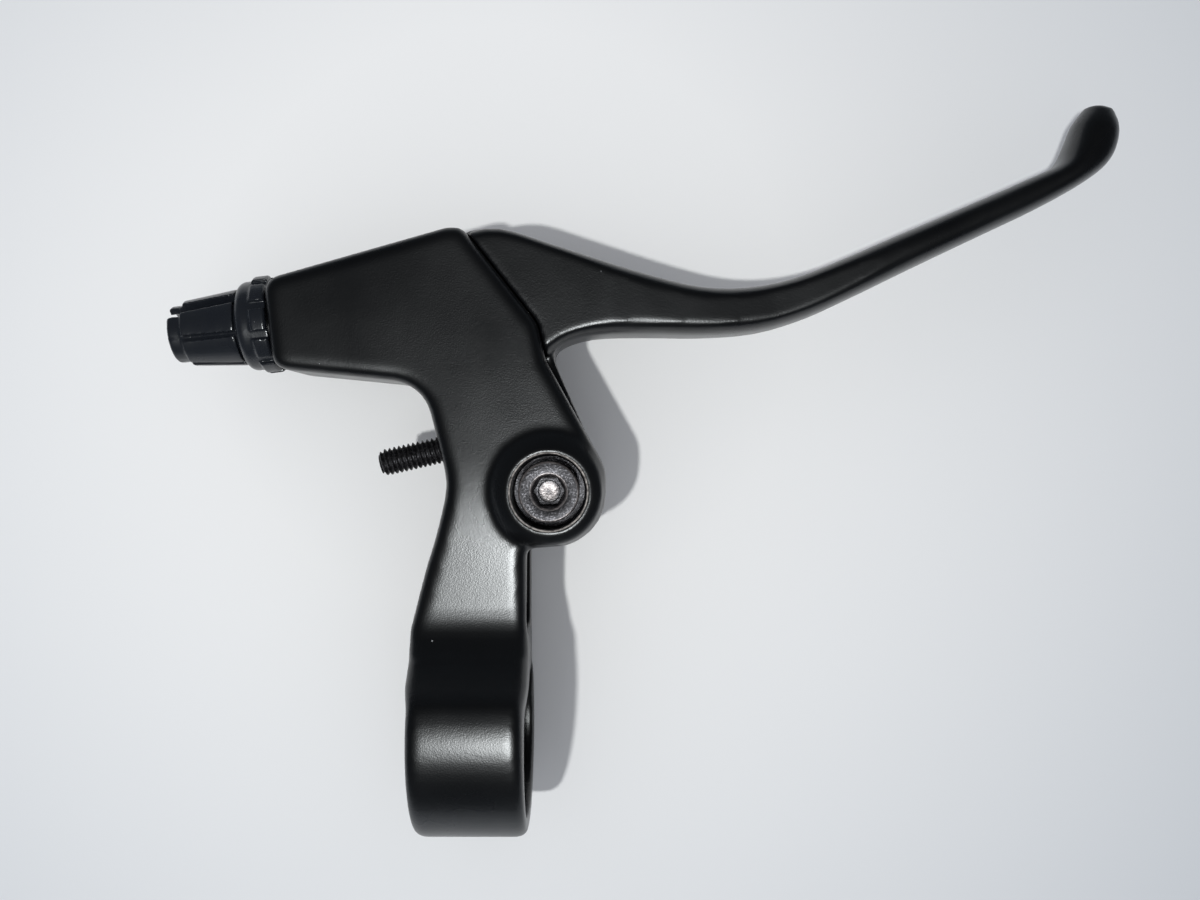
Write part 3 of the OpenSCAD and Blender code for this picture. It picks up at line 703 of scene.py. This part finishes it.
class LEVER_OT_reach_screw(bpy.types.Operator):
    """Cut the reach screw's thread and its small hex socket"""
    bl_idname = "lever.reach_screw"
    bl_label = "Reach screw"

    def execute(self, context):
        look = context.scene.steel_finish
        joint = next(j for j in frame["joints"] if j["name"] == "reach_travel")
        outward = Vector(joint["axis"]).normalized()
        corners = [Vector(c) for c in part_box("reach_screw")]
        middle = (corners[0] + corners[1]) / 2
        outer_r = (corners[1].z - corners[0].z) / 2 / MM
        span = (corners[1].x - corners[0].x) / MM
        length = (span - 2 * outer_r * abs(outward.y)) / abs(outward.x)
        pitch = look.thread_pitch / MM
        depth, chamfer, flats = 0.4, 0.8, 2.0
        crest_share, flank_share = 0.12, 0.72
        steps_per_turn = 14

        def crest(z):
            """Radius of the thread at a height, by angle, with its starts chamfered."""
            outer = outer_r - depth * max(0.0, 1.0 - min(z, length - z) / chamfer)

            def radius(angle):
                turn_part = (z / pitch - angle / math.tau) % 1.0
                flank = (abs(turn_part - 0.5) * 2 - crest_share) / flank_share
                return outer - depth * min(1.0, max(0.0, flank))
            return radius

        steps = int(length / pitch * steps_per_turn)
        rings = [(crest(length * i / steps), length * i / steps) for i in range(steps + 1)]
        rings += [(flats / 2 + 0.28, length), (hexagon(flats), length - 0.25),
                  (hexagon(flats), length - 2.0), (0.3, length - 2.3)]
        turn = outward.to_track_quat("Z", "Y").to_matrix().to_4x4()
        start = middle - outward * length / 2 * MM
        piece = turned("reach_grub_screw", rings, Matrix.Translation(start) @ turn, 50)
        settle(piece, black_steel("reach_screw_steel"), "reach", "black_steel", "reach_screw")
        return {"FINISHED"}


class LEVER_OT_hidden_fittings(bpy.types.Operator):
    """Finish the washers, nut, sleeve and bushes"""
    bl_idname = "lever.hidden_fittings"
    bl_label = "Washers, nut and bushes"

    def execute(self, context):
        plated = plain_metal("plated_steel", (0.42, 0.42, 0.43), 0.35)
        finishes = {
            "pivot_washer": black_steel("washer_steel"),
            "clamp_washer": plated,
            "pivot_sleeve": plated,
            "pivot_nut": black_steel("nut_steel"),
            "upper_bush": bush_plastic(),
        }
        finishes["lower_bush"] = finishes["upper_bush"]
        for node, finish in finishes.items():
            piece = frame["nodes"][node]
            for slot in piece.material_slots:
                slot.material = finish
        return {"FINISHED"}


class LEVER_OT_stage(bpy.types.Operator):
    """Set the table, the soft light and the camera over the lever"""
    bl_idname = "lever.stage"
    bl_label = "Table, light and camera"

    def execute(self, context):
        look = context.scene.stage_settings
        self.floor(look, CAD_BOX[0][2])
        self.lights(look)
        self.surroundings(context, look)
        self.camera(context, look)
        context.scene.view_settings.view_transform = "Standard"
        return {"FINISHED"}

    def floor(self, look, z):
        """A pale table under the lever, with painted shade: its colour darkens away from a spot
        beside the lever, in place of light falling off.
        """
        mesh = bpy.data.meshes.new("table")
        corners = [(x * TABLE_HALF, y * TABLE_HALF, z)
                   for x, y in ((-1, -1), (1, -1), (1, 1), (-1, 1))]
        mesh.from_pydata(corners, [], [(0, 1, 2, 3)])
        table = link("table", mesh)
        material, tree, shader, where = blank_material("pale_table")
        cloud = noise(tree, where, 14.0, 4.0)
        pale = look.floor_colour
        # Painted shade: the table's colour darkens with distance from the centre spot, standing in
        # for light falling off towards the corners
        painted_shade_colour = opaque(c * share for c, share in zip(pale, (0.62, 0.65, 0.69)))
        tone = mix_colour(tree, cloud, opaque(pale, 0.97), opaque(pale))
        spread = add(tree, "ShaderNodeVectorMath", {0: where, 1: PAINTED_LIGHT_CENTRE},
                     operation="DISTANCE")
        outer = stretch(tree, spread.outputs["Value"], 0.05, 0.16)
        tone = mix_colour(tree, outer, tone, painted_shade_colour)
        tree.links.new(tone, shader.inputs["Base Color"])
        shader.inputs["Roughness"].default_value = 0.7
        shader.inputs["Specular IOR Level"].default_value = 0.2
        mesh.materials.append(material)

    def lights(self, look):
        """The key light gives the shadows, and a soft window the sheen on the paint."""
        key_size = (look.key_size, look.key_size)
        key = self.lamp("key", KEY_FROM_AIM, key_size, look.key, (1.0, 1.0, 0.985))
        key.visible_glossy = False
        window = self.lamp("window", WINDOW_FROM_AIM, WINDOW_SIZE, look.window,
                           (0.95, 0.99, 1.0))
        window.visible_diffuse = False

    def lamp(self, name, away, size, power, colour):
        """An oval lamp at a place from the aim, turned to it."""
        lamp = bpy.data.lights.new(name, "AREA")
        lamp.shape = "ELLIPSE"
        lamp.size, lamp.size_y = size
        lamp.energy = power
        lamp.color = colour
        holder = bpy.data.objects.new(name, lamp)
        holder.location = AIM + Vector(away)
        holder.rotation_euler = (AIM - holder.location).to_track_quat("-Z", "Y").to_euler()
        bpy.context.collection.objects.link(holder)
        return holder

    def surroundings(self, context, look):
        """A pale room. In reflections its walls are pale and its ceiling is dark."""
        world = bpy.data.worlds.new("pale_room")
        context.scene.world = world
        world.use_nodes = True
        tree = world.node_tree
        background = tree.nodes["Background"]
        in_gloss = tree.nodes.new("ShaderNodeLightPath").outputs["Is Glossy Ray"]
        colour = mix_colour(tree, in_gloss, (0.93, 0.945, 1.0, 1.0), (0.72, 0.86, 1.0, 1.0))
        tree.links.new(colour, background.inputs["Color"])
        heading = tree.nodes.new("ShaderNodeTexCoord").outputs["Generated"]
        height = add(tree, "ShaderNodeSeparateXYZ", {0: heading}).outputs["Z"]
        room = stretch(tree, height, 0.75, 0.1, look.ceiling, look.walls)
        glossy = math_node(tree, "MULTIPLY", in_gloss, room)
        other = math_node(tree, "MULTIPLY", math_node(tree, "SUBTRACT", 1.0, in_gloss), look.fill)
        tree.links.new(math_node(tree, "ADD", glossy, other), background.inputs["Strength"])

    def camera(self, context, look):
        """A camera that looks straight down on the lever."""
        lens = bpy.data.cameras.new("camera")
        lens.lens = look.focal
        lens.sensor_width = 36.0
        lens.clip_start = 0.005
        holder = bpy.data.objects.new("camera", lens)
        holder.location = (*CAMERA_OVER, look.camera_height)
        bpy.context.collection.objects.link(holder)
        context.scene.camera = holder


class LEVER_PT_panel(bpy.types.Panel):
    """Settings and steps in the 3D view's sidebar"""
    bl_idname = "LEVER_PT_panel"
    bl_label = "Brake lever"
    bl_space_type = "VIEW_3D"
    bl_region_type = "UI"
    bl_category = "Brake Lever"

    def draw(self, context):
        for name, group in SETTINGS.items():
            box = self.layout.box()
            for key in group.__annotations__:
                box.prop(getattr(context.scene, name), key)
        for operator in OPERATORS:
            self.layout.operator(operator.bl_idname)


SETTINGS = {"casting_finish": CastingFinish, "plastic_finish": PlasticFinish,
            "steel_finish": SteelFinish, "stage_settings": StageSettings}
OPERATORS = (LEVER_OT_stage, LEVER_OT_castings, LEVER_OT_adjuster, LEVER_OT_bolts,
             LEVER_OT_reach_screw, LEVER_OT_hidden_fittings)


def register():
    for group in SETTINGS.values():
        bpy.utils.register_class(group)
    for operator in OPERATORS:
        bpy.utils.register_class(operator)
    bpy.utils.register_class(LEVER_PT_panel)
    for name, group in SETTINGS.items():
        setattr(bpy.types.Scene, name, PointerProperty(type=group))


def unregister():
    for name in SETTINGS:
        delattr(bpy.types.Scene, name)
    bpy.utils.unregister_class(LEVER_PT_panel)
    for operator in reversed(OPERATORS):
        bpy.utils.unregister_class(operator)
    for group in reversed(list(SETTINGS.values())):
        bpy.utils.unregister_class(group)


def main():
    register()
    bpy.ops.lever.stage()
    bpy.ops.lever.castings()
    bpy.ops.lever.adjuster()
    bpy.ops.lever.bolts()
    bpy.ops.lever.reach_screw()
    bpy.ops.lever.hidden_fittings()


if __name__ == "__main__":
    main()
